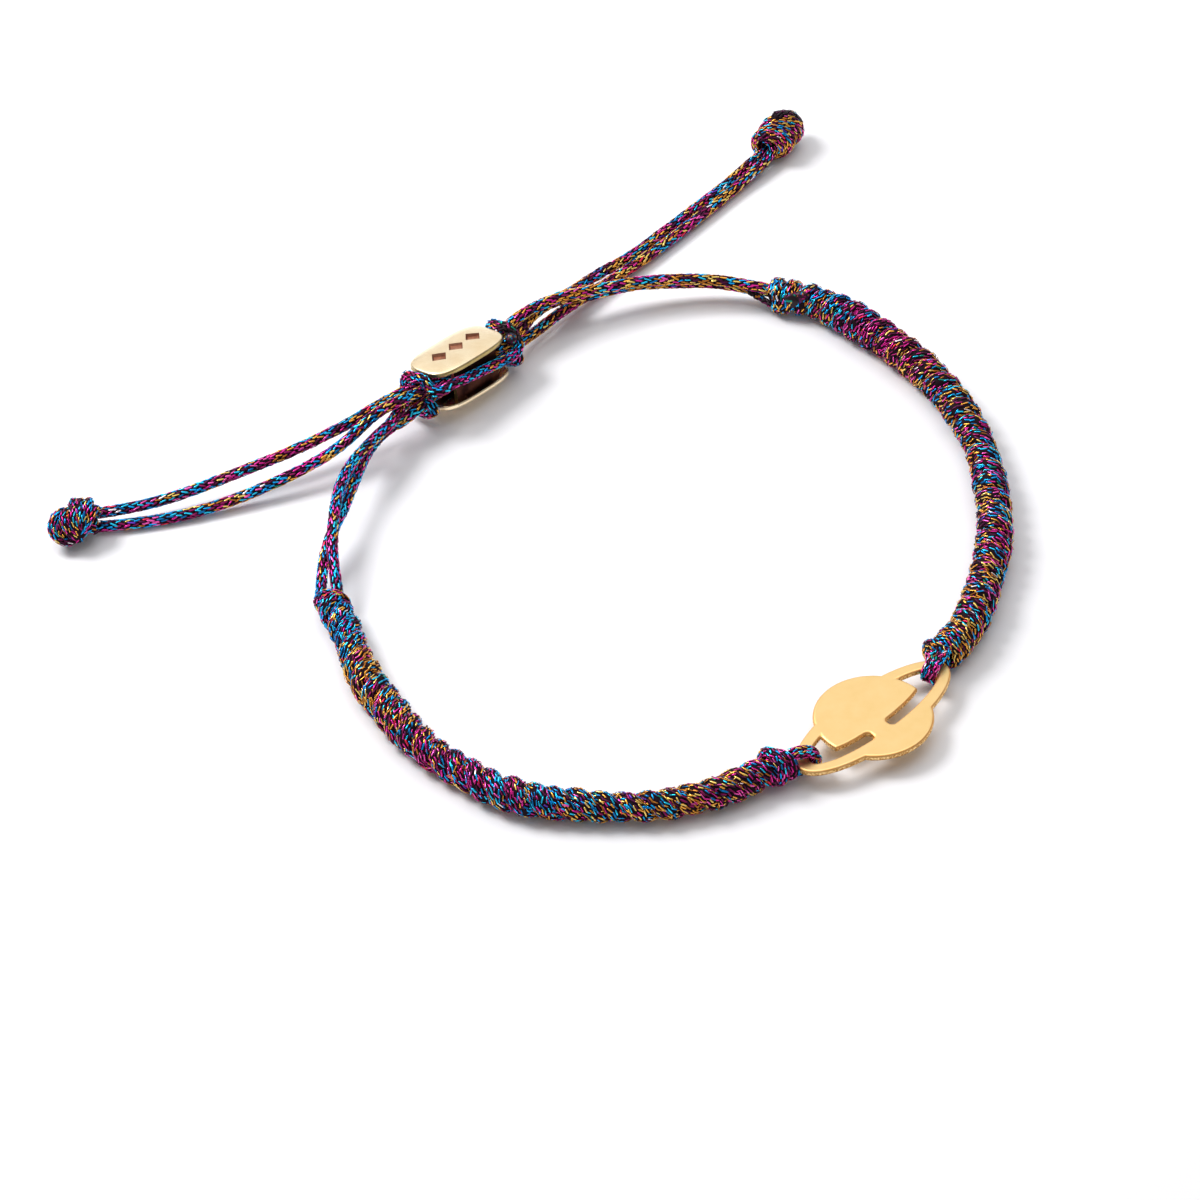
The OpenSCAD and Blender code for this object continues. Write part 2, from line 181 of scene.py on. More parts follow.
class Weave(NamedTuple):
    """How the floats of a braid lie on their cord, and the dark core under them."""
    float_long: float
    float_wide: float
    # From float to float along the cord, and from column to column around it
    pitch: float
    spacing: float
    float_high: float = 0.055
    # How far the columns lean, left and right in turn, in degrees
    slant: float = 16.0
    # How unevenly the floats lean and rise, in degrees, and how much their sizes vary
    loose: float = 5.0
    tilt: float = 3.0
    vary: float = 0.12
    # How unevenly they lie in and out, and along the cord as a share of the pitch
    rough: float = 0.01
    shuffle: float = 0.07
    # Share of floats that are left out
    missing: float = 0.0
    # Least outward part, as a cosine, at which a column can be seen
    show: float = -2.0
    # The core: how far inside the cord it lies, its sides and its step along the cord
    core_in: float = 0.06
    core_sides: int = 10
    core_step: float = 0.3


STRAND_WEAVE = Weave(0.72, 0.152, 0.74, 0.209, slant=12.0, loose=7.0, vary=0.2,
                     core_in=0.07, core_sides=12, core_step=0.4)
LASHING_WEAVE = Weave(0.62, 0.15, 0.66, 0.1975, slant=14.0, core_in=0.07)
LOOP_WEAVE = Weave(0.52, 0.135, 0.55, 0.157, loose=9.0, vary=0.2)
PASS_WEAVE = Weave(0.56, 0.14, 0.6, 0.165, slant=13.0, loose=9.0, vary=0.2, show=-0.5)
KNOT_LEFT_WEAVE = PASS_WEAVE._replace(float_wide=0.118)
KNOT_RIGHT_WEAVE = PASS_WEAVE._replace(float_wide=0.145)
BAND_LEFT_WEAVE = Weave(0.6, 0.132, 0.56, 0.14, 0.05, slant=15.0, loose=10.0, tilt=6.0, vary=0.25,
                        rough=0.024, shuffle=0.14, missing=0.01, show=-0.35, core_sides=12)
BAND_RIGHT_WEAVE = BAND_LEFT_WEAVE._replace(float_long=0.62, float_wide=0.138, pitch=0.62, spacing=0.16)


def linear(code):
    """A colour code as scene-linear red, green, blue and alpha."""
    parts = [int(code[k:k + 2], 16) / 255 for k in (0, 2, 4)]
    return tuple(c / 12.92 if c <= 0.04045 else ((c + 0.055) / 1.055) ** 2.4
                 for c in parts) + (1.0,)


def unit(v):
    v = np.asarray(v, float)
    return v / np.linalg.norm(v, axis=-1, keepdims=True)


# Curves
CURVE_STEPS = 16


def smooth_rows(rows, step):
    """A smooth curve through whole rows, with a row about every step along it."""
    p = np.array(rows, float)
    padded = np.vstack([p[:1], p, p[-1:]])
    t = np.linspace(0, 1, CURVE_STEPS, endpoint=False)[:, None]
    parts = []
    for k in range(len(p) - 1):
        a, b, c, d = padded[k:k + 4]
        parts.append(0.5 * (2 * b + (c - a) * t + (2 * a - 5 * b + 4 * c - d) * t ** 2
                            + (3 * b - a - 3 * c + d) * t ** 3))
    return even_rows(np.vstack(parts + [p[-1:]]), step)


def run_of(points):
    """How far along a line of points each point is."""
    return np.concatenate([[0], np.cumsum(np.linalg.norm(np.diff(points[:, :3], axis=0), axis=1))])


def between(places, run, rows):
    """Rows at places between those at each run."""
    return np.stack([np.interp(places, run, column) for column in rows.T], 1)


def even_rows(rows, step):
    """The same line with its rows about a step apart."""
    run = run_of(rows)
    return between(np.linspace(0, run[-1], max(3, int(round(run[-1] / step)) + 1)), run, rows)


def tangents(points):
    return unit(np.gradient(points, axis=0))


def carried_sides(along, first):
    """Side directions carried along a curve from the first without twisting."""
    side, out = np.array(first), []
    for t in along:
        side = unit(side - (side @ t) * t)
        out.append(side)
    return np.array(out)


UP = (0.0, 0.0, 1.0)


class Cord:
    """A centreline with directions, half width, half thickness and share of the mix at each point."""

    def __init__(self, points, half_wide, half_thick, outward=None, share=None):
        self.points = np.asarray(points, float)
        self.along = tangents(self.points)
        if outward is None:
            self.out = carried_sides(self.along, UP)
        else:
            self.out = unit(outward - np.sum(outward * self.along, 1, keepdims=True) * self.along)
        self.side = np.cross(self.along, self.out)
        self.run = run_of(self.points)
        self.length = self.run[-1]
        self.share = self.run / self.length if share is None else share
        self.wide = np.broadcast_to(half_wide, len(self.points)).astype(float)
        self.thick = np.broadcast_to(half_thick, len(self.points)).astype(float)

    def at(self, s):
        """Centre, directions and half sizes at distances s along the cord."""
        centre, along, out, side = (between(s, self.run, rows)
                                    for rows in (self.points, self.along, self.out, self.side))
        return (centre, unit(along), unit(out), unit(side), np.interp(s, self.run, self.wide),
                np.interp(s, self.run, self.thick))


# Meshes
def linked(name, data):
    """An object of the scene with the given data."""
    piece = bpy.data.objects.new(name, data)
    bpy.context.collection.objects.link(piece)
    return piece


def closed_faces(rings, sides):
    """Faces between rings of points, and one at each end."""
    faces = [(i * sides + j, i * sides + (j + 1) % sides, (i + 1) * sides + (j + 1) % sides,
              (i + 1) * sides + j) for i in range(rings - 1) for j in range(sides)]
    ends = tuple(range(sides - 1, -1, -1)), tuple((rings - 1) * sides + j for j in range(sides))
    return faces + list(ends)


# Where the rounded end of a core has its rings, in degrees from the tip
CAP_ANGLES = (12, 36, 62)


class Shape:
    """Vertices, faces and yarn numbers that become one mesh."""

    def __init__(self):
        self.verts, self.faces, self.yarns, self.count = [], [], [], 0

    def add(self, verts, faces, yarns):
        verts = np.asarray(verts, float).reshape(-1, 3)
        self.verts.append(verts)
        self.faces += [tuple(v + self.count for v in f) for f in faces]
        self.yarns += list(yarns)
        self.count += len(verts)

    def add_core(self, cord, shrink, sides, step):
        """The dark body under the yarns, with round ends."""
        steps = max(3, int(round(cord.length / step)) + 1)
        radius = min(cord.thick[0] - shrink, cord.length / 3)
        cap = radius * (1 - np.cos(np.radians(CAP_ANGLES)))
        s = np.concatenate([cap, np.linspace(radius, cord.length - radius, steps),
                            cord.length - cap[::-1]])
        end = np.minimum(s, cord.length - s)
        full = np.sqrt(np.clip(1 - (1 - np.minimum(end / radius, 1)) ** 2, 0, 1))
        centre, _, out, side, wide, thick = cord.at(s)
        a = np.linspace(0, 2 * np.pi, sides, endpoint=False)
        axes = np.stack([((thick - shrink) * full)[:, None] * out,
                         ((wide - shrink) * full)[:, None] * side], 1)
        rings = centre[:, None] + np.stack([np.cos(a), np.sin(a)], 1) @ axes
        faces = closed_faces(len(s), sides)
        self.add(rings, faces, [YARN_NUMBER["core"]] * len(faces))

    def build(self, name):
        """The mesh as an object of the scene."""
        mesh = bpy.data.meshes.new(name)
        mesh.from_pydata((np.vstack(self.verts) * MM).tolist(), [], self.faces)
        for material in yarn_materials:
            mesh.materials.append(material)
        mesh.polygons.foreach_set("material_index", np.array(self.yarns, dtype=np.int32))
        mesh.shade_smooth()
        mesh.update()
        return linked(name, mesh)


# A float is buried where the square of its distance from another cord's middle, over that cord's
# half size, is less than this share. Points of that cord count up to this far away along it, and
# points of the float's own cord only from this far along it
BURIED_SHARE = 0.7
NEAR_ALONG = 0.2
OWN_STRETCH = 2.5
# How unevenly the floats are rolled about their own length, in degrees, and lie around the cord
ROLL = 9.0
AROUND = 0.05
# How near to an end of the cord the middle of a float may lie, as a share of the float's length
END_ROOM = 0.35
# Where each column's floats start, as a share of the pitch, and how far each other column is shifted
COLUMN_START, COLUMN_SHIFT = 0.25, 0.5
# How much wider and flatter burnt floats are
BURNT_WIDER, BURNT_FLATTER = 1.35, 0.7

# Floats that face away from this direction, the side the light comes from, take on the painted shade tint
PAINTED_SHADE_LIT_SIDE = (0.0, 0.8, 0.6)

# One float of yarn: two tips and two rings of five, as along, across and up
RING_AT = 0.6
RING = [(-1.0, -0.1), (-0.62, 0.72), (0.0, 1.0), (0.62, 0.72), (1.0, -0.1)]
FLOAT_POINTS = np.array(
    [(-1, 0, 0)] + [(x, y, z) for x in (-RING_AT, RING_AT) for y, z in RING] + [(1, 0, 0)], float)
FLOAT_FACES = (
    [(0, 1 + (k + 1) % 5, 1 + k) for k in range(5)]
    + [(1 + k, 1 + (k + 1) % 5, 6 + (k + 1) % 5, 6 + k) for k in range(5)]
    + [(11, 6 + k, 6 + (k + 1) % 5) for k in range(5)])


def pick_from(chances):
    """A yarn number from names with their chances."""
    shares = np.array([chance for _, chance in chances])
    return YARN_NUMBER[chances[rng.choice(len(chances), p=shares / shares.sum())][0]]


def pick_yarns(mix, shares, low):
    """A yarn number for each float of one column, with short runs of one family. Floats that face away from
    the light get the painted shade tint.
    """
    table = np.array(mix, float)
    # Painted shade: the more a float faces away from the light, the more its family weights shift by the
    # tint
    weights = between(shares, table[:, 0], table[:, 1:]) * (1 + low[:, None] * PAINTED_SHADE_TINT)
    names, family = [], None
    for w in weights:
        if family is None or rng.random() > SAME_AGAIN:
            family = rng.choice(3, p=w / w.sum())
        rare = np.searchsorted(RARE_SUMS, rng.random(), side="right")
        names.append(YARN_NUMBER[RARE[rare][0]] if rare < len(RARE) else pick_from(FAMILIES[family]))
    return names


def buried(points, run, cord, cords):
    """Which points on a cord lie inside another cord, or inside another turn of the same one."""
    inside = np.zeros(len(points), bool)
    for other in cords:
        away = points[:, None] - other.points
        along, across, above = (np.einsum("ijk,jk->ij", away, direction)
                                for direction in (other.along, other.side, other.out))
        near = np.abs(along) < NEAR_ALONG
        if other is cord:
            near &= np.abs(run[:, None] - other.run) > OWN_STRETCH
        section = (across / other.wide) ** 2 + (above / other.thick) ** 2
        inside |= np.any(near & (section < BURIED_SHARE), axis=1)
    return inside


def add_braid(shape, cord, mix, weave, melted=None, cords=(), end_gap=0.0):
    """Floats of yarn in columns along a cord. Columns lean left and right in turn."""
    shape.add_core(cord, weave.core_in, weave.core_sides, weave.core_step)
    wide, thick = cord.wide.mean(), cord.thick.mean()
    angles = np.linspace(0, 2 * np.pi, 721)
    around = run_of(np.stack([thick * np.cos(angles), wide * np.sin(angles)], 1))
    # An even number of columns, so that each leans the other way than both beside it
    columns = 2 * int(round(math.pi * (wide + thick) / weave.spacing / 2))
    n = max(2, int(cord.length / weave.pitch))
    end_room = END_ROOM * weave.float_long
    bare_end = max(end_room, end_gap)
    for c in range(columns):
        phi = np.interp(around[-1] * (c + 0.5) / columns, around, angles)
        if np.cos(phi) < weave.show:
            continue
        s = (np.arange(n) + COLUMN_START + COLUMN_SHIFT * (c % 2)) * cord.length / n
        s = np.clip(s + rng.normal(0, weave.shuffle * weave.pitch, n), end_room,
                    cord.length - end_room)
        centre, along, out, side, wides, thicks = cord.at(s)
        p = phi + rng.normal(0, AROUND, n)
        surface = centre + (thicks * np.cos(p))[:, None] * out + (wides * np.sin(p))[:, None] * side
        up = unit((np.cos(p) * wides)[:, None] * out + (np.sin(p) * thicks)[:, None] * side)
        lean = np.radians(weave.slant * (1 if c % 2 else -1) + rng.normal(0, weave.loose, n))[:, None]
        direction = unit(along * np.cos(lean) + np.cross(up, along) * np.sin(lean))
        rise = np.radians(rng.normal(0, weave.tilt, n))[:, None]
        direction, up = (direction * np.cos(rise) + up * np.sin(rise),
                         up * np.cos(rise) - direction * np.sin(rise))
        roll = np.radians(rng.normal(0, ROLL, n))[:, None]
        across = unit(np.cross(up, direction) * np.cos(roll) + up * np.sin(roll))
        up = np.cross(direction, across)
        size = rng.uniform(1 - weave.vary, 1 + weave.vary, (3, n))
        burnt = np.zeros(n, bool) if melted is None else (s > melted[0]) & (s < melted[1])
        size[1, burnt] *= BURNT_WIDER
        size[2, burnt] *= BURNT_FLATTER
        long, wide, high = size * ((weave.float_long / 2,), (weave.float_wide / 2,), (weave.float_high,))
        middle = surface + up * (rng.normal(0, weave.rough, n) - high)[:, None]
        axes = np.stack([long[:, None] * direction, wide[:, None] * across, high[:, None] * up], 1)
        verts = middle[:, None] + FLOAT_POINTS @ axes
        # How far each float faces away from the light, for the painted shade tint
        low = np.clip(-(up @ PAINTED_SHADE_LIT_SIDE), 0, 1)
        kept = (rng.random(n) >= weave.missing) & ~buried(middle, s, cord, cords)
        kept &= (s >= bare_end) & (s <= cord.length - bare_end)
        for k, yarn in enumerate(pick_yarns(mix, np.interp(s, cord.run, cord.share), low)):
            if burnt[k]:
                yarn = pick_from(MELTED)
            if kept[k]:
                shape.add(verts[k], FLOAT_FACES, [yarn] * len(FLOAT_FACES))


# Materials
def new_material(name, values):
    """A material with the given values at its shader's inputs."""
    material = bpy.data.materials.new(name)
    material.use_nodes = True
    shader = material.node_tree.nodes["Principled BSDF"]
    for key, value in values.items():
        shader.inputs[key].default_value = value
    return material, material.node_tree, shader


def yarn_material(name, code, roughness):
    """Metallic yarn. The weave itself is geometry, one float at a time."""
    shine = {"Specular IOR Level": 0.1} if name == "core" else {"Metallic": 0.75}
    return new_material("yarn_" + name, {"Base Color": linear(code), "Roughness": roughness, **shine})[0]


yarn_materials = [yarn_material(*row) for row in YARNS]


# Camera
scene = bpy.context.scene
camera_data = bpy.data.cameras.new("camera")
camera_data.lens = LENS
camera_data.sensor_width = SENSOR
camera_data.clip_start = 0.01
camera_data.clip_end = 20
camera = linked("camera", camera_data)
down = math.radians(LOOK_DOWN)
view_direction = Vector((0, math.cos(down), -math.sin(down)))
camera.location = (Vector(LOOK_AT) - view_direction * CAMERA_AWAY) * MM
camera.rotation_euler = (math.radians(90 - LOOK_DOWN), 0, 0)
scene.camera = camera


# Strands
def make_strand(name, rows, mix):
    """One free strand of braided cord, and its centreline."""
    cord = Cord(smooth_rows(rows, step=0.2), CORD_D / 2 + PROUD, CORD_D / 2 + PROUD)
    shape = Shape()
    add_braid(shape, cord, mix, STRAND_WEAVE)
    piece = shape.build(name + "_braid")
    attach(piece, "root")
    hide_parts(name)
    return piece, cord


strands_a = [make_strand("strand_a_1", STRAND_A_1, MIX_A), make_strand("strand_a_2", STRAND_A_2, MIX_A)]
strands_b = [make_strand("strand_b_1", STRAND_B_1[::-1], MIX_B),
             make_strand("strand_b_2", STRAND_B_2[::-1], MIX_B)]


# Bands: cords that wind side by side around a dark core, two on the left and one on the right
def band_lines(rows):
    """Centre rows, their directions and sides, and the rib count at each of them."""
    fine = smooth_rows(rows, step=0.25)
    step = np.diff(run_of(fine))
    ribs = np.concatenate([[0], np.cumsum(2 * step / (fine[1:, 4] + fine[:-1, 4]))])
    along = tangents(fine[:, :3])
    return fine, along, carried_sides(along, UP), ribs


# How often the turns swell and shrink, per radian of the winding
WOBBLE_RATES = (0.23, 0.61, 1.37)
# The winding leaves this share of a rib free at each end, and has a point this often
RIB_ENDS, RIB_STEP = 0.35, 0.02
# How far the dark core of a band lies inside its outline
BAND_CORE_IN = 0.5


def wobble_at(theta, uneven):
    """A slow uneven wave along a helix."""
    return uneven * sum(np.sin(rate * theta + phase)
                        for rate, phase in zip(WOBBLE_RATES, rng.uniform(0, 6.28, 3)))


def wrap_cord(rows, starts, which, half_thick, overlap, uneven):
    """One of the wrapping cords: a helix whose turns are the ribs of the band."""
    fine, along, side, ribs = band_lines(rows)
    other = np.cross(along, side)
    count = np.arange(RIB_ENDS, ribs[-1] - RIB_ENDS, RIB_STEP)
    theta = (count - which - 0.5) * 2 * np.pi / starts

    wound = between(count, ribs, fine)
    n, b = unit(between(count, ribs, side)), unit(between(count, ribs, other))
    outward = np.cos(theta)[:, None] * n + np.sin(theta)[:, None] * b
    wobble = wobble_at(theta, uneven)
    shift = wobble_at(theta, uneven)
    points = (wound[:, :3] + (wound[:, 3] - half_thick + wobble)[:, None] * outward
              + shift[:, None] * np.cross(b, n))
    return Cord(points, wound[:, 4] / 2 * overlap * (1 + wobble), half_thick, outward,
                np.linspace(0, 1, len(count)))


def make_band(name, rows, starts, mix, weave, winding, rings, end_mixes, stubs, patches):
    """A wrapped band. The winding is its cords' half thickness, overlap and unevenness."""
    shape = Shape()
    fine = band_lines(rows)[0]
    shape.add_core(Cord(fine[:, :3], fine[:, 3], fine[:, 3]), BAND_CORE_IN, sides=14, step=0.5)
    wraps = [wrap_cord(rows, starts, which, *winding) for which in range(abs(starts))]
    for cord in wraps:
        add_braid(shape, cord, mix, weave, cords=wraps)
    for end, *ring in rings:
        add_braid(shape, ring_cord(*ring), end_mixes[end], PASS_WEAVE)
    for half, burnt, points in stubs:
        cord = Cord(smooth_rows(points, step=0.1), half, half)
        add_braid(shape, cord, end_mixes[0], PASS_WEAVE, (0, cord.length) if burnt else None)
    for centre, radii in patches:
        add_ball(shape, centre, radii, MELTED)
    piece = shape.build(name + "_wrap")
    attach(piece, "root")
    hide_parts(name)


# Knots: cords laid around an axis, and passes of cord that lie over the knot's form
def ring_cord(centre, axis, radius, lean, turn, half_wide, half_thick, flat=1.0):
    """A ring of cord around an axis, leaning to one side and pressed flat from above."""
    axis = unit(axis)
    up = unit(np.array(UP) - axis[2] * axis)
    side = np.cross(axis, up)
    a = np.linspace(0, 2 * np.pi, 33) + math.radians(turn)
    spoke = np.cos(a)[:, None] * side * radius + np.sin(a)[:, None] * up * radius * flat
    spoke = spoke + (np.cos(a) * math.tan(math.radians(lean)) * radius)[:, None] * axis
    rows = even_rows(np.hstack([centre + spoke, spoke]), step=0.12)
    return Cord(rows[:, :3], half_wide, half_thick, rows[:, 3:])


def add_ball(shape, centre, radii, yarns):
    """A lump of melted yarn, uneven and specked, or the dark middle of a knot."""
    rings, sides, pole, uneven = 13, 20, 0.1, 0.025
    b = np.linspace(pole, np.pi - pole, rings)
    a = np.linspace(0, 2 * np.pi, sides, endpoint=False)
    verts = np.array([[np.sin(q) * np.cos(p), np.sin(q) * np.sin(p), np.cos(q)] for q in b for p in a])
    verts = verts * rng.normal(1, uneven, (len(verts), 1))
    # The rings run downwards here, so each face is turned round
    faces = [face[:1] + face[:0:-1] for face in closed_faces(rings, sides)]
    shape.add(centre + verts * radii, faces, [pick_from(yarns) for _ in faces])


# Rings at the ends of the bands. Columns: 0 at the start or -1 at the charm, centre, axis, radius,
# lean, turn, half width, half thickness
LEFT_RINGS = [
    (0, (-26.1, -7.3, 1.45), (0.25, -0.97, 0.0), 1.02, -24, 90, 0.42, 0.4),
    (-1, (7.75, -25.6, 1.6), (0.9, 0.43, 0.0), 1.2, 14, -90, 0.5, 0.42),
    (-1, (8.55, -25.25, 1.45), (0.87, 0.49, 0.0), 0.92, 22, -90, 0.46, 0.42),
]
RIGHT_RINGS = [
    (0, (9.3, 30.3, 1.45), (1.0, -0.1, 0.0), 1.06, 8, -90, 0.5, 0.4),
    (-1, (21.95, -11.85, 1.45), (-0.53, -0.85, 0.0), 1.08, -8, 250, 0.5, 0.42),
    (-1, (21.4, -12.7, 1.43), (-0.53, -0.85, 0.0), 1.05, -14, 250, 0.46, 0.42),
    (-1, (20.55, -13.2, 1.42), (-0.58, -0.81, 0.0), 1.02, -20, 250, 0.46, 0.42),
    (-1, (20.45, -13.5, 1.42), (-0.58, -0.81, 0.0), 0.5, -20, 250, 0.5, 0.46),
]
# Where the strands run into the bands. Columns: half width, burnt or not, points
LEFT_STUBS = [(0.44, False, [(-27.08, -6.3, 1.06), (-26.9, -7.1, 1.15), (-26.4, -8.0, 1.35)]),
              (0.44, False, [(-25.75, -6.1, 1.93), (-25.8, -6.9, 1.78), (-25.9, -7.8, 1.55)])]
RIGHT_STUBS = [(0.44, False, [(8.1, 30.63, 2.04), (9.0, 30.5, 1.9), (9.9, 30.4, 1.7)]),
               (0.44, False, [(8.1, 31.33, 1.04), (9.0, 31.0, 1.15), (9.9, 30.6, 1.3)]),
               (0.3, True, [(6.9, 31.0, 1.45), (7.9, 30.3, 1.2), (8.9, 29.6, 1.0)])]
# Melted lumps. Columns: centre, radii
RIGHT_PATCHES = [((10.5, 29.25, 1.85), (0.95, 0.56, 0.75)), ((11.3, 29.3, 2.1), (0.75, 0.5, 0.6))]
make_band("band_left", BAND_LEFT, RIB_STARTS_LEFT, MIX_LEFT, BAND_LEFT_WEAVE, (0.64, 0.88, 0.045),
          LEFT_RINGS, END_MIXES_LEFT, LEFT_STUBS, [])
make_band("band_right", BAND_RIGHT, RIB_STARTS_RIGHT, MIX_RIGHT, BAND_RIGHT_WEAVE, (0.6, 0.96, 0.04),
          RIGHT_RINGS, END_MIXES_RIGHT, RIGHT_STUBS, RIGHT_PATCHES)

# Where the axis of each knot starts, its direction, and the middle of the knot
KNOT_LEFT_PLACE = (-45.5, 2.78, 1.55), (-0.87, -0.5, 0.02), (-46.6, 2.1, 1.55)
KNOT_RIGHT_PLACE = (8.85, 49.95, 1.55), (0.56, 0.83, 0.02), (9.8, 51.4, 1.6)
# Rings that fill a knot. Columns: distance along the axis, radius, flatness, lean, turn, half width
KNOT_LEFT_RINGS = [
    (0.25, 0.85, 0.9, 14, 40, 0.4), (1.0, 1.05, 0.95, 6, 160, 0.45),
    (1.75, 1.15, 0.98, -12, 280, 0.5), (2.5, 0.95, 0.98, -24, 60, 0.45),
    (3.0, 0.4, 1.0, -30, 200, 0.4),
]
KNOT_RIGHT_RINGS = [
    (0.3, 0.8, 0.9, -10, 40, 0.4), (1.1, 1.1, 0.95, 8, 150, 0.5),
    (2.0, 1.18, 0.98, 20, 270, 0.5), (2.9, 1.0, 0.95, 26, 30, 0.45),
    (3.7, 0.6, 0.9, 28, 90, 0.42),
]
# Passes over a knot: azimuth and height in degrees, seen from the knot's middle, and
# in some rows how much farther out the pass lies there
KNOT_LEFT_PASSES = [
    [(150, 60, -0.6), (170, 45, -0.42), (-163, 31, -0.12), (-155, 18, 0.08), (-145, 5, 0.15),
     (-130, -4, 0.15), (-112, -16, 0.15), (-92, -24)],
    [(120, 60, -0.5), (160, 66, -0.36), (-141, 49, -0.14), (-122, 37, 0.02), (-109, 22, 0.05),
     (-97, 6), (-82, -8), (-75, -30)],
    [(95, 15, 0.1), (105, 50, 0.12), (150, 80, 0.05), (-101, 58), (-92, 37), (-82, 17), (-78, -5)],
    [(60, 5, 0.1), (50, 35, 0.12), (32, 52, 0.1), (-6, 56, 0.05), (-37, 46), (-62, 29), (-77, 12)],
    [(35, -10), (25, 18), (9, 38), (-16, 38), (-42, 26), (-66, 12), (-82, 2)],
    [(-15, -25), (-30, -2), (-48, 6), (-66, 4), (-80, -8), (-92, -32)],
    [(60, -50), (62, -20), (66, 10), (75, 40)],
    [(100, -50), (100, -20), (104, 10), (112, 40)],
    [(82, 15, -0.05), (78, 40), (62, 62), (15, 77), (-50, 67), (-64, 44), (-76, 19), (-79, -4)],
    [(140, -50, -0.3), (140, -20, -0.3), (142, 12, -0.42), (150, 40, -0.6)],
    [(178, -50), (176, -22), (172, 8, -0.12), (168, 32, -0.38)],
]
KNOT_RIGHT_BURNT = [
    [(112, 66, 0.12), (84, 66, 0.2), (62, 54, 0.22), (48, 32, 0.2), (40, 8, 0.12), (36, -14)],
    [(112, 46, 0.08), (86, 46, 0.12), (66, 32, 0.14), (56, 8, 0.1), (52, -16)],
]
# Wraps over the right knot: distance along the axis, lean in degrees, half width, how far out
KNOT_RIGHT_WRAPS = [
    (0.1, 22, 0.36, -0.14), (0.35, 38, 0.4, -0.02), (1.0, 44, 0.42, 0.06), (1.7, 47, 0.42, 0.0),
    (2.4, 47, 0.42, 0.04), (3.05, 42, 0.4, -0.02),
]
# The part of the axis that the wraps keep to, and the radius at which their lean is measured
WRAP_REACH = (0.05, 4.1)
WRAP_RADIUS = 1.1
PASS_HALF_THICK, PASS_HALF_WIDE, BURNT_HALF_WIDE = 0.38, 0.38, 0.5
# No yarn this near the ends of a knot's passes, which are tucked in
PASS_END = 0.4
# Size of the dark middle of a knot. Its rings are drawn in and lowered a little
KNOT_CORE = (1.3, 1.2, 1.0)
RING_SHARE, RING_DROP, RING_HALF_THICK = 0.78, 0.08, 0.36
# Rays towards the knot start this far out. A ray that misses counts as this far
RAY_FROM, RAY_MISSED = 8.0, 0.5
# A strand's hidden end starts this far back, runs straight this far, and at the third distance is
# this share of the way to the middle of the knot
RUN_BACK, RUN_STRAIGHT, RUN_BENT, BENT_SHARE = 0.1, 0.6, 1.2, 0.4


def form_reach(tree, centre, ray):
    """How far the knot's CAD form reaches from a centre along a ray."""
    hit = tree.ray_cast(Vector(centre + ray * RAY_FROM) * MM, Vector(-ray))[0]
    return np.linalg.norm(np.array(hit) / MM - centre) if hit else RAY_MISSED


def averaged(values, count, ends):
    """Running means of values. The ends say how they are continued."""
    return np.convolve(np.pad(values, count // 2, mode=ends), np.ones(count) / count, mode="valid")


def over_form(centre, rays, reach, half_wide, raised):
    """A cord at the given reach along rays from a centre."""
    points = centre + rays * (reach - PASS_HALF_THICK + raised)[:, None]
    rows = even_rows(np.hstack([points, rays]), step=0.1)
    return Cord(rows[:, :3], half_wide, PASS_HALF_THICK, rows[:, 3:])


def pass_over(tree, middle, angles, half_wide, raised):
    """A cord that follows directions from the middle of a knot over the CAD form."""
    table = np.array([(tuple(row) + (0,))[:3] for row in angles], float)
    azimuth, height = np.radians(table[:, :2]).T
    rays = np.stack([np.cos(azimuth) * np.cos(height), np.sin(azimuth) * np.cos(height), np.sin(height)], 1)
    rows = smooth_rows(np.hstack([rays, table[:, 2:]]), step=0.05)
    rays, extra = unit(rows[:, :3]), rows[:, 3]
    reach = averaged([form_reach(tree, middle, ray) for ray in rays], 9, "edge")
    return over_form(middle, rays, reach, half_wide, raised + extra)


def wrap_over(tree, at, axis, along, lean, half_wide, raised):
    """A cord around an axis that leans to one side and follows the CAD form."""
    side = unit(np.cross(axis, UP))
    up = np.cross(side, axis)
    a = np.linspace(0, 2 * np.pi, 49) - np.pi / 2
    slide = np.clip(along + np.cos(a) * math.tan(math.radians(lean)) * WRAP_RADIUS, *WRAP_REACH)
    centre = at + slide[:, None] * axis
    rays = np.cos(a)[:, None] * side + np.sin(a)[:, None] * up
    reach = averaged([form_reach(tree, c, ray) for c, ray in zip(centre[:-1], rays[:-1])], 7, "wrap")
    return over_form(centre, rays, np.append(reach, reach[0]), half_wide, raised)


def run_in(cord, middle):
    """The hidden stretch of a strand that runs on into the middle of its knot."""
    end, along = cord.points[-1], cord.along[-1]
    line = [end - along * RUN_BACK, end + along * RUN_STRAIGHT,
            (end + along * RUN_BENT) * (1 - BENT_SHARE) + np.array(middle) * BENT_SHARE]
    return Cord(smooth_rows(line, step=0.1), CORD_D / 2, CORD_D / 2)


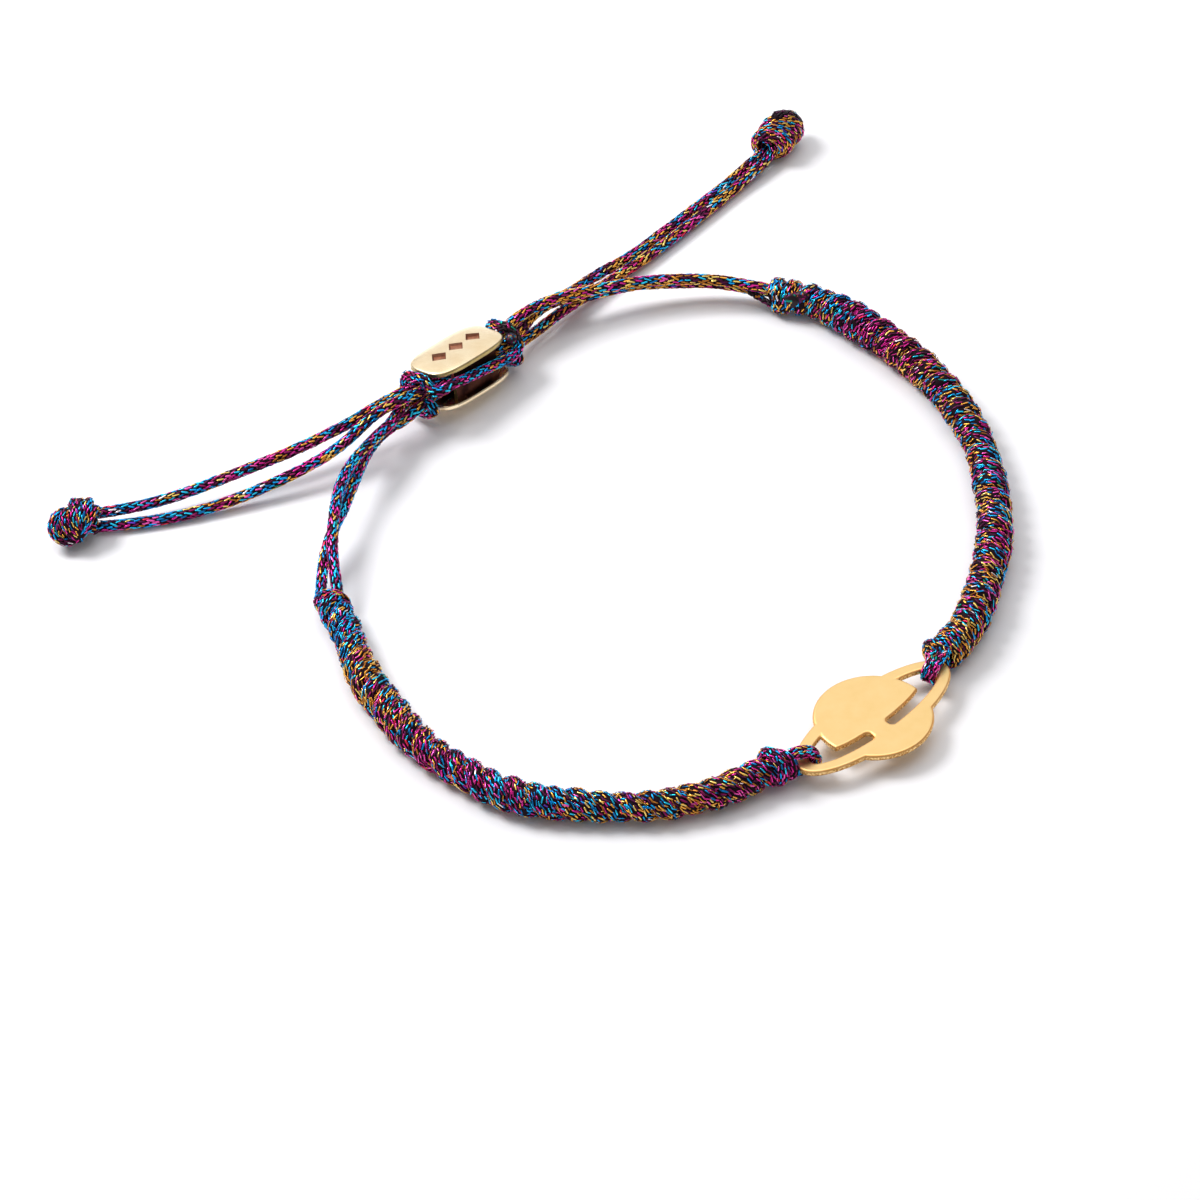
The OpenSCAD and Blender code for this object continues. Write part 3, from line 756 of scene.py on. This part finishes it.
def make_knot(name, at, axis, middle, rings, passes, burnt, wraps, raised, strands, mix, weave):
    """A knot of passes and wraps over the CAD form, filled with rings around its axis."""
    shape = Shape()
    axis = unit(axis)
    mesh = bpy.data.objects[name].data
    tree = BVHTree.FromPolygons([v.co for v in mesh.vertices], [f.vertices for f in mesh.polygons])
    add_ball(shape, middle, KNOT_CORE, CORE_ONLY)
    laid = [pass_over(tree, middle, angles, PASS_HALF_WIDE, raised) for angles in passes]
    burnt = [pass_over(tree, middle, angles, BURNT_HALF_WIDE, raised) for angles in burnt]
    plain = [wrap_over(tree, at, axis, along, lean, half_wide, raised + out)
             for along, lean, half_wide, out in wraps]
    plain += [ring_cord(at + axis * along - (0, 0, RING_DROP), axis, radius * RING_SHARE,
                        lean, turn, half_wide, RING_HALF_THICK, flat)
              for along, radius, flat, lean, turn, half_wide in rings]
    plain += [run_in(cord, middle) for _, cord in strands]
    cords = laid + burnt + plain
    for cord in cords:
        add_braid(shape, cord, mix, weave, (0, cord.length) if cord in burnt else None,
                  [other for other in cords if other is not cord], 0.0 if cord in plain else PASS_END)
    piece = shape.build(name + "_turns")
    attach(piece, "root")
    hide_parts(name)
    return piece


knot_left = make_knot("knot_left", *KNOT_LEFT_PLACE, KNOT_LEFT_RINGS, KNOT_LEFT_PASSES, [], [], 0.3,
                      strands_b, MIX_KNOT_LEFT, KNOT_LEFT_WEAVE)
knot_right = make_knot("knot_right", *KNOT_RIGHT_PLACE, KNOT_RIGHT_RINGS, [], KNOT_RIGHT_BURNT,
                       KNOT_RIGHT_WRAPS, 0.2, strands_a, MIX_KNOT_RIGHT, KNOT_RIGHT_WEAVE)

# Loops of cord through the charm's ring. Columns: distance past the bend, z
CHARM_LOOP = [
    (-1.6, 2.3), (-0.8, 2.17), (-0.25, 1.87), (0, 1.42),
    (-0.25, 0.97), (-0.8, 0.67), (-1.6, 0.54),
]
# Height of the upper and the lower end, inside the band
LOOP_END_HIGH, LOOP_END_LOW = 2.2, 0.64
CHARM_LOOP_HALF_THICK = 0.3


def make_charm_loop(name, at, turn, reach, spread, half_wide, mix):
    """Loops side by side, from a band's end around the charm's ring and back."""
    shape = Shape()
    along = np.array((math.cos(math.radians(turn)), math.sin(math.radians(turn)), 0))
    across = np.array((-along[1], along[0], 0))
    rows = [(-reach, LOOP_END_HIGH)] + CHARM_LOOP + [(-reach, LOOP_END_LOW)]
    for side in spread:
        points = [at + along * (reach + out) + across * side + (0, 0, z) for out, z in rows]
        cord = Cord(smooth_rows(points, step=0.15), half_wide, CHARM_LOOP_HALF_THICK)
        add_braid(shape, cord, mix, LOOP_WEAVE)
    piece = shape.build(name + "_cords")
    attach(piece, "root")
    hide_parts(name)


make_charm_loop("charm_loop_left", (9.05, -25.05, 0), 19.5, 2.16, (-0.3, 0.3), 0.32, MIX_LEFT[-1:])
make_charm_loop("charm_loop_right", (21.25, -13.15, 0), -119.6, 2.84, (-0.38, 0.0, 0.38), 0.28,
                MIX_LOOP_RIGHT)

# Clasp: its place and lean, and its sizes in its own axes
SLIDER_AT = (-16.5, 19.8, 2.66)
SLIDER_TURN = (-14.0, 3.5, 47.0)
SLIDER_LONG, SLIDER_WIDE = 7.9, 4.36
CORNER_POWER = 3.5
PLATE_THICK, PLATE_EDGE = 0.4, 0.07
# Undersides of the lower and the upper plate
PLATE_LOW, PLATE_HIGH = -1.95, 1.15
SLIDER_DOME = 0.34
# The top plate is a little larger, and reaches farther back
TOP_GROW, TOP_SHIFT = (1.03, 1.08, 1.0), (-0.12, 0.18, 0.0)
WALL_AT, WALL_THICK, WALL_LONG = 1.25, 0.4, 4.8
LOZENGE_LONG, LOZENGE_WIDE, LOZENGE_STEP = 1.5, 1.5, 1.9
ENGRAVE_DEPTH = 0.18
# The dome is lower under the outer lozenges
OUTER_LOWER = 0.1


def turned(angles):
    """The turn that the CAD source writes as rotate([x, y, z])."""
    x, y, z = (math.radians(a) for a in angles)
    return Matrix.Rotation(z, 4, "Z") @ Matrix.Rotation(y, 4, "Y") @ Matrix.Rotation(x, 4, "X")


slider_frame = Matrix.Translation(SLIDER_AT) @ turned(SLIDER_TURN)

# Lashing cord, in the clasp's axes: a loop at each end of the clasp and the run between them
LASHING_ROWS = [
    (-4.9, -1.9, 0.5), (-4.2, -2.2, 0.5), (-3.2, -2.22, 0.55), (-1.5, -2.22, 0.3),
    (0.5, -2.22, 0.1), (2.5, -2.22, -0.1), (3.5, -2.22, -0.2), (4.2, -2.16, -0.1),
    (4.75, -1.98, 0.2),
]
# The loops: height of their middle, radius at their sides and corners, places, steps and sweep
BUNDLE_W = -0.2
LOOP_SIDE, LOOP_CORNER = 1.56, 1.84
LOOP_LEFT_U, LOOP_RIGHT_U = -4.95, 4.95
LOOP_STEPS, LOOP_SWEEP = 9, 295
LOOP_LEFT_FROM, LOOP_RIGHT_FROM = 215, 150
LUMP_AT, LUMP_SIZE = (4.4, -1.55, 0.85), (0.5, 0.6, 0.48)
# Both ends of the lashing are tucked in beside the strands
TUCK_LEFT = [(-4.95, -0.55, -0.75), (-4.95, -0.95, -0.7)]
TUCK_RIGHT = [(4.95, -0.95, -0.7), (4.95, -0.55, -0.75)]
# The burnt stretch: from and to, past the start of the right loop
MELTED_STRETCH = (0.1, 2.6)


def loop_point(u, degrees):
    """A point of a loop around the strands, seen along the clasp."""
    a = math.radians(degrees)
    r = LOOP_SIDE + (LOOP_CORNER - LOOP_SIDE) * math.sin(2 * a) ** 2
    return (u, r * math.cos(a), BUNDLE_W + r * math.sin(a))


def make_lashing():
    sweep = [LOOP_SWEEP * k / LOOP_STEPS for k in range(LOOP_STEPS + 1)]
    before = TUCK_LEFT + [loop_point(LOOP_LEFT_U, LOOP_LEFT_FROM + a) for a in sweep] + LASHING_ROWS
    after = [loop_point(LOOP_RIGHT_U, LOOP_RIGHT_FROM - a) for a in sweep] + TUCK_RIGHT
    rows = [tuple(slider_frame @ Vector(p)) for p in before + after]
    line = smooth_rows(rows, step=0.15)
    cord = Cord(line, CORD_D / 2, CORD_D / 2)
    start = cord.run[np.argmin(np.linalg.norm(line - rows[len(before) - 1], axis=1))]
    shape = Shape()
    add_braid(shape, cord, MIX_A[:1], LASHING_WEAVE, tuple(start + end for end in MELTED_STRETCH))
    add_ball(shape, tuple(slider_frame @ Vector(LUMP_AT)), LUMP_SIZE, MELTED)
    piece = shape.build("slider_lashing_cord")
    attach(piece, "root")
    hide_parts("slider_lashing")


make_lashing()


# Metal
def metal_material(name, code, dark_code, roughness, grain, low=0.3):
    """Metal whose colour varies in a fine grain. The lower low is, the softer the grain."""
    material, tree, shader = new_material(name, {"Metallic": 1.0, "Roughness": roughness})
    coords = tree.nodes.new("ShaderNodeTexCoord")
    noise = tree.nodes.new("ShaderNodeTexNoise")
    noise.inputs["Scale"].default_value = grain
    noise.inputs["Detail"].default_value = 4
    tree.links.new(coords.outputs["Object"], noise.inputs["Vector"])
    ramp = tree.nodes.new("ShaderNodeValToRGB")
    for k, place, colour in ((0, low, dark_code), (1, 1 - low, code)):
        ramp.color_ramp.elements[k].position = place
        ramp.color_ramp.elements[k].color = linear(colour)
    tree.links.new(noise.outputs["Fac"], ramp.inputs["Fac"])
    tree.links.new(ramp.outputs["Color"], shader.inputs["Base Color"])
    return material


gold_face = metal_material("charm_gold", "F3D092", "EFCB8A", 0.38, 900)
gold_edge = metal_material("charm_edge_gold", "FFDE9C", "B8803C", 0.5, 6000, 0.4)
# Painted reflection: the upper rounded edge is a warmer, more orange gold than the face
gold_rim_painted_reflection = metal_material("charm_rim_painted_reflection", "FFCC88", "F4B468", 0.42, 900)
pale_gold = metal_material("clasp_gold", "FFECC8", "F8DFB6", 0.26, 700)
recess_gold = metal_material("clasp_recess", "C08C70", "8A5A48", 0.5, 1500)
# Painted shade: dark brown for the inner walls and the lower plate's inner face, in the gap under the top
# plate
painted_gap_shade = metal_material("clasp_painted_gap_shade", "5A3428", "2A1210", 0.5, 900)
# Painted shade: darker olive gold on the clasp's sides, for the shadowed floor that they reflect
side_painted_shade = metal_material("clasp_side_painted_shade", "C4AE74", "A8935C", 0.34, 900)

# Charm: its place and lean, its thickness and the size of its rounded edges
CHARM_AT = (15.5, -20.11, 1.15)
CHARM_TURN = (-1.8, 0.0, 45.9)
CHARM_THICK = 0.54
CHARM_BEVEL = 0.23
# Faces whose normals reach this far up are flat, or belong to the upper rim, which has a warmer painted
# reflection
FLAT_FACE, RIM_FACE = 0.97, 0.4
# How far a corner may lie off the top face, and the shortest edge that an outline keeps
TOP_ROOM, SHORTEST_EDGE = 0.01, 0.02


def top_loops(node, frame_matrix, height):
    """The closed outlines of a flat plate's top face, in the plate's own axes."""
    mesh = bpy.data.objects[node].data
    to_plate = frame_matrix.inverted()
    points = [to_plate @ (v.co / MM) for v in mesh.vertices]
    edges = {}
    for face in mesh.polygons:
        if all(abs(points[v].z - height) < TOP_ROOM for v in face.vertices):
            ids = [(round(points[v].x, 4), round(points[v].y, 4)) for v in face.vertices]
            for a, b in zip(ids, ids[1:] + ids[:1]):
                if not edges.pop((b, a), False):
                    edges[(a, b)] = True
    following = {a: b for a, b in edges}
    loops = []
    while following:
        here, loop = next(iter(following)), []
        while here in following:
            loop.append(here)
            here = following.pop(here)
        loops.append(loop)
    return loops


def evaluated_mesh(piece):
    """The mesh that an object's curve or modifiers make."""
    bpy.context.view_layer.update()
    return bpy.data.meshes.new_from_object(piece.evaluated_get(bpy.context.evaluated_depsgraph_get()))


def plate_piece(name, loops, thick, bevel):
    """A plate over closed outlines, with small round edges."""
    data = bpy.data.curves.new(name, "CURVE")
    data.dimensions = "2D"
    data.fill_mode = "BOTH"
    data.extrude = thick / 2 - bevel
    data.bevel_depth = bevel
    data.bevel_resolution = 3
    data.offset = -bevel
    for loop in loops:
        kept = [p for k, p in enumerate(loop) if math.dist(p, loop[k - 1]) > SHORTEST_EDGE]
        spline = data.splines.new("POLY")
        spline.points.add(len(kept) - 1)
        for point, (x, y) in zip(spline.points, kept):
            point.co = (x, y, 0, 1)
        spline.use_cyclic_u = True
    source = linked(name + "_outline", data)
    mesh = evaluated_mesh(source)
    bpy.data.objects.remove(source)
    return mesh


def finish_piece(name, mesh, matrix, node, materials):
    """A metal piece in its place, with its materials. Clearing them would reset the faces' numbers."""
    mesh.transform(Matrix.Scale(MM, 4) @ matrix)
    numbers = [face.material_index for face in mesh.polygons]
    mesh.materials.clear()
    for material in materials:
        mesh.materials.append(material)
    mesh.polygons.foreach_set("material_index", numbers)
    piece = linked(name, mesh)
    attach(piece, "root")
    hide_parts(node)


def make_charm():
    matrix = Matrix.Translation(CHARM_AT) @ turned(CHARM_TURN)
    mesh = plate_piece("charm_plate", top_loops("charm", matrix, CHARM_THICK), CHARM_THICK, CHARM_BEVEL)
    for face in mesh.polygons:
        flat = abs(face.normal.z) > FLAT_FACE
        face.use_smooth = not flat
        # The upper rim takes the warmer painted reflection
        face.material_index = 0 if flat else 2 if face.normal.z > RIM_FACE else 1
    finish_piece("charm_plate", mesh, matrix @ Matrix.Translation((0, 0, CHARM_THICK / 2)),
                 "charm", [gold_face, gold_edge, gold_rim_painted_reflection])


make_charm()


# Clasp. Its materials, and their numbers on the faces
CLASP_METALS = [pale_gold, recess_gold, painted_gap_shade, side_painted_shade]
FACE_GOLD, RECESS, PAINTED_GAP_SHADE, SIDE_PAINTED_SHADE = range(4)
# Faces of the top plate below this upward part, and wall faces past this part lengthwise, are sides,
# painted a darker olive gold as painted shade
PLATE_SIDE, WALL_END = 0.45, 0.9
# The lower plate's inner face faces up by this part, within this share of the plate's size
INNER_UP, INNER_SHARE = 0.9, 0.49
# How large a lozenge is at its floor and above the plate, as shares of its size
LOZENGE_FLOOR, LOZENGE_TOP = 0.82, 1.1


def squared_corner(a):
    """A sine or cosine bent so that the outline has the clasp's corners."""
    return math.copysign(abs(a) ** (2 / CORNER_POWER), a)


def closed_solid(rings):
    """A solid between rings of points, with a face at each end."""
    shape = bmesh.new()
    rows = [[shape.verts.new(point) for point in ring] for ring in rings]
    for low, high in zip(rows, rows[1:]):
        for j in range(len(low)):
            k = (j + 1) % len(low)
            shape.faces.new((low[j], low[k], high[k], high[j]))
    shape.faces.new(rows[0][::-1])
    shape.faces.new(rows[-1])
    return shape


def lofted(profile, sides=96):
    """A closed solid over superellipses. Columns: share of the size, height."""
    outline = [(squared_corner(math.cos(a)) * SLIDER_LONG / 2,
                squared_corner(math.sin(a)) * SLIDER_WIDE / 2)
               for a in (2 * math.pi * k / sides for k in range(sides))]
    return closed_solid([[(share * x, share * y, z) for x, y in outline] for share, z in profile])


def as_object(name, shape, material_index=FACE_GOLD):
    """A part of the clasp as an object, all in one of the clasp's materials."""
    for face in shape.faces:
        face.material_index = material_index
    mesh = bpy.data.meshes.new(name)
    shape.to_mesh(mesh)
    shape.free()
    for material in CLASP_METALS:
        mesh.materials.append(material)
    return linked(name, mesh)


def lozenge_cutter(u, floor, top):
    """A lozenge that widens a little upwards, to cut the ornament out of the plate."""
    corners = ((-LOZENGE_LONG / 2, 0), (0, -LOZENGE_WIDE / 2),
               (LOZENGE_LONG / 2, 0), (0, LOZENGE_WIDE / 2))
    shape = closed_solid([[(u + x * grow, y * grow, z) for x, y in corners]
                          for z, grow in ((floor, LOZENGE_FLOOR), (top, LOZENGE_TOP))])
    return as_object("cutter", shape, RECESS)


def applied_boolean(piece, other, operation):
    """Cuts the other object out of a piece, or joins it on, and removes the other."""
    modifier = piece.modifiers.new("boolean", "BOOLEAN")
    modifier.operation = operation
    modifier.solver = "EXACT"
    modifier.object = other
    mesh = evaluated_mesh(piece)
    piece.modifiers.clear()
    piece.data = mesh
    bpy.data.objects.remove(other)


def wall_box(side):
    """One of the two inner walls between the plates."""
    shape = bmesh.new()
    bmesh.ops.create_cube(shape, size=1)
    low, high = PLATE_LOW + PLATE_THICK / 2, PLATE_HIGH + PLATE_THICK / 2
    for v in shape.verts:
        v.co = (v.co.x * WALL_LONG, side * (WALL_AT + WALL_THICK / 2) + v.co.y * WALL_THICK,
                (low + high) / 2 + v.co.z * (high - low))
    # The walls carry the painted shade of the gap between the plates; their ends take the sides' painted
    # shade
    wall = as_object("wall", shape, PAINTED_GAP_SHADE)
    for face in wall.data.polygons:
        if abs(face.normal.x) > WALL_END:
            face.material_index = SIDE_PAINTED_SHADE
    return wall


def top_plate():
    """The domed plate, with its lozenges cut in."""
    edge, top = PLATE_EDGE, PLATE_HIGH + PLATE_THICK
    dome = [(share, top + SLIDER_DOME * (1 - share ** 4))
            for share in (0.975, 0.95, 0.9, 0.84, 0.76, 0.66, 0.54, 0.4, 0.25, 0.1)]
    plate = as_object("clasp_body", lofted(
        [(0.97, PLATE_HIGH), (0.99, PLATE_HIGH + edge * 0.3), (1.0, PLATE_HIGH + edge),
         (1.0, top - edge), (0.992, top - edge * 0.3)] + dome))
    for face in plate.data.polygons:
        # Side faces take the darker painted shade colour
        if abs(face.normal.z) < PLATE_SIDE:
            face.material_index = SIDE_PAINTED_SHADE
    for k in (-1, 0, 1):
        floor = top + SLIDER_DOME - ENGRAVE_DEPTH - (OUTER_LOWER if k else 0)
        cutter = lozenge_cutter(k * LOZENGE_STEP, floor, top + SLIDER_DOME + 0.1)
        applied_boolean(plate, cutter, "DIFFERENCE")
    plate.data.transform(Matrix.Translation(TOP_SHIFT) @ Matrix.Diagonal(TOP_GROW + (1.0,)))
    return plate


def lower_plate():
    """The flat plate, dark on its inner face with painted shade."""
    edge, top = PLATE_EDGE, PLATE_LOW + PLATE_THICK
    plate = as_object("clasp_low", lofted(
        [(0.96, PLATE_LOW), (0.985, PLATE_LOW + edge * 0.4), (1.0, PLATE_LOW + edge * 1.3),
         (1.0, top - edge * 1.3), (0.985, top - edge * 0.4), (0.96, top), (0.9, top - 0.01),
         (0.5, top - 0.01)]))
    places = [math.hypot(v.co.x / SLIDER_LONG, v.co.y / SLIDER_WIDE) for v in plate.data.vertices]
    for face in plate.data.polygons:
        # Painted shade on the inner face, under the top plate
        if face.normal.z > INNER_UP and all(places[v] < INNER_SHARE for v in face.vertices):
            face.material_index = PAINTED_GAP_SHADE
    return plate


def make_slider():
    plate = top_plate()
    for other in (wall_box(-1), wall_box(1), lower_plate()):
        applied_boolean(plate, other, "UNION")
    mesh = plate.data
    bpy.data.objects.remove(plate)
    mesh.shade_smooth()
    mesh.set_sharp_from_angle(angle=math.radians(32))
    finish_piece("clasp_body", mesh, slider_frame, "slider", CLASP_METALS)


make_slider()


# Floor and light, in metres and watts
FLOOR_HALF, FLOOR_GAP = 3.0, 0.00001
FLOOR_COLOUR = (0.905, 0.9, 0.925, 1.0)
# Columns: name, direction from the middle of the picture, distance, size, power
LIGHTS = [
    ("key", (-0.83, 0.4, 1.0), 0.36, 0.16, 1.04),
    ("softbox", (0.0, 1.0, 1.0), 1.3, 2.6, 10.2),
    ("top", (0.0, 0.15, 1.0), 1.1, 1.2, 3.0),
]
WORLD_STRENGTH = 0.32


def make_floor():
    mesh = bpy.data.meshes.new("floor")
    size, z = FLOOR_HALF, cad_box[0][2] - FLOOR_GAP
    mesh.from_pydata([(-size, -size, z), (size, -size, z), (size, size, z), (-size, size, z)],
                     [], [(0, 1, 2, 3)])
    piece = linked("floor", mesh)
    values = {"Base Color": FLOOR_COLOUR, "Roughness": 0.9, "Specular IOR Level": 0.1}
    mesh.materials.append(new_material("floor_white", values)[0])


def area_light(name, direction, away, size, power):
    data = bpy.data.lights.new(name, "AREA")
    data.shape = "DISK"
    data.size = size
    data.energy = power
    light = linked(name, data)
    light.location = Vector(LOOK_AT) * MM + Vector(direction).normalized() * away
    light.rotation_euler = Vector(direction).to_track_quat("Z", "Y").to_euler()


make_floor()
for row in LIGHTS:
    area_light(*row)
world = bpy.data.worlds.new("world")
scene.world = world
world.use_nodes = True
background = world.node_tree.nodes["Background"]
background.inputs["Color"].default_value = (1, 1, 1, 1)
background.inputs["Strength"].default_value = WORLD_STRENGTH
scene.view_settings.view_transform = "Standard"
